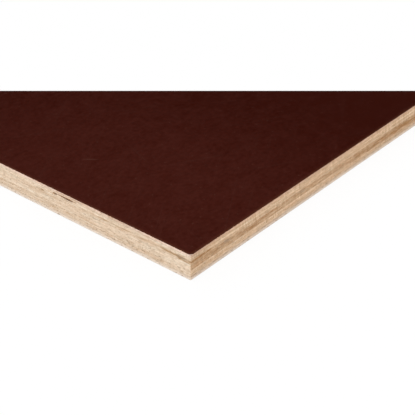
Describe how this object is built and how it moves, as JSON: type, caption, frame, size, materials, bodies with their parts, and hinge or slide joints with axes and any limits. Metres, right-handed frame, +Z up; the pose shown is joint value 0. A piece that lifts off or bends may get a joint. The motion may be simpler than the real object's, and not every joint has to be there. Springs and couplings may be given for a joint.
{
  "type": "film-faced plywood sheet",
  "caption": "Full-size sheet of cross-laminated birch plywood with a dark brown phenolic film on both faces, for formwork, floors and vehicle linings.",
  "frame": {"origin": "middle of the underside, on the floor that the sheet lies on", "axes": "+X along the sheet's length, +Y across its width, +Z up through its thickness"},
  "size_m": [2.44, 1.22, 0.018],
  "materials": {
    "phenolic_film": "satin",
    "birch_along": "matte",
    "birch_across": "matte"
  },
  "bodies": {
    "root": {"film_top": "phenolic_film", "veneer_01": "birch_along", "veneer_02": "birch_across", "veneer_03": "birch_along", "veneer_04": "birch_across", "veneer_05": "birch_along", "veneer_06": "birch_across", "veneer_07": "birch_along", "veneer_08": "birch_across", "veneer_09": "birch_along", "veneer_10": "birch_across", "veneer_11": "birch_along", "veneer_12": "birch_across", "veneer_13": "birch_along", "film_bottom": "phenolic_film"}
  },
  "joints": []
}
